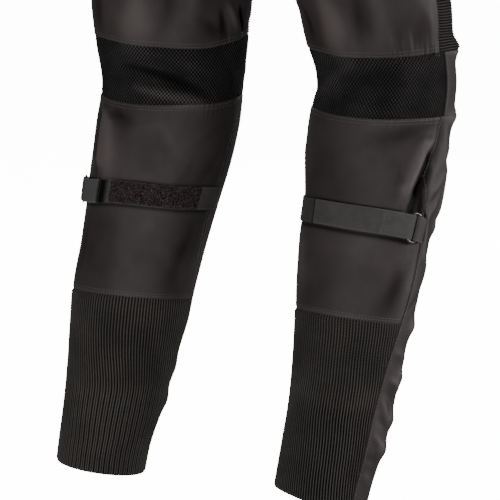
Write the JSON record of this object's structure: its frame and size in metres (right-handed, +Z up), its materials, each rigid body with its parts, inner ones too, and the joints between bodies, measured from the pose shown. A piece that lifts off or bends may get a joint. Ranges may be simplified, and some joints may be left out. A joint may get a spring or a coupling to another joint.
{
  "type": "motorcycle trousers",
  "caption": "Motocross trousers worn with bent knees: woven panels, ribbed stretch panels over the knees, knit bands behind them, a strap and wire ring on each calf and long ribbed knit cuffs.",
  "frame": {"origin": "centre of the waist opening at the waistband's mid-height, where the wearer holds the trousers up", "axes": "+Z up out of the waist, the front looks to -Y and the back to +Y, +X is the wearer's left"},
  "size_m": [0.4163, 0.2802, 0.9912],
  "materials": {
    "woven": "charcoal woven nylon",
    "stretch": "ribbed stretch cloth",
    "knit": "black knit mesh",
    "rib_knit": "black ribbed knit",
    "webbing": "woven webbing",
    "loop": "hook-and-loop pile",
    "moulded": "smooth moulded grip",
    "metal": "black coated wire"
  },
  "bodies": {
    "root": {"thigh_front_left": "woven", "seat_left": "woven", "thigh_back_left": "woven", "accordion_left": "stretch", "knee_front_left": "woven", "knit_back_left": "knit", "calf_back_left": "woven", "shin_front_left": "woven", "cuff_left": "rib_knit", "strap_left": "webbing", "loop_field_left": "loop", "ring_tab_left": "webbing", "ring_left": "metal", "thigh_front_right": "woven", "seat_right": "woven", "thigh_back_right": "woven", "accordion_right": "stretch", "knee_front_right": "woven", "knit_back_right": "knit", "calf_back_right": "woven", "shin_front_right": "woven", "cuff_right": "rib_knit", "strap_right": "webbing", "loop_field_right": "loop", "ring_tab_right": "webbing", "ring_right": "metal", "strap_grip_left": "moulded", "waistband": "woven", "fly_flap": "woven", "waist_tab": "woven"}
  },
  "joints": []
}
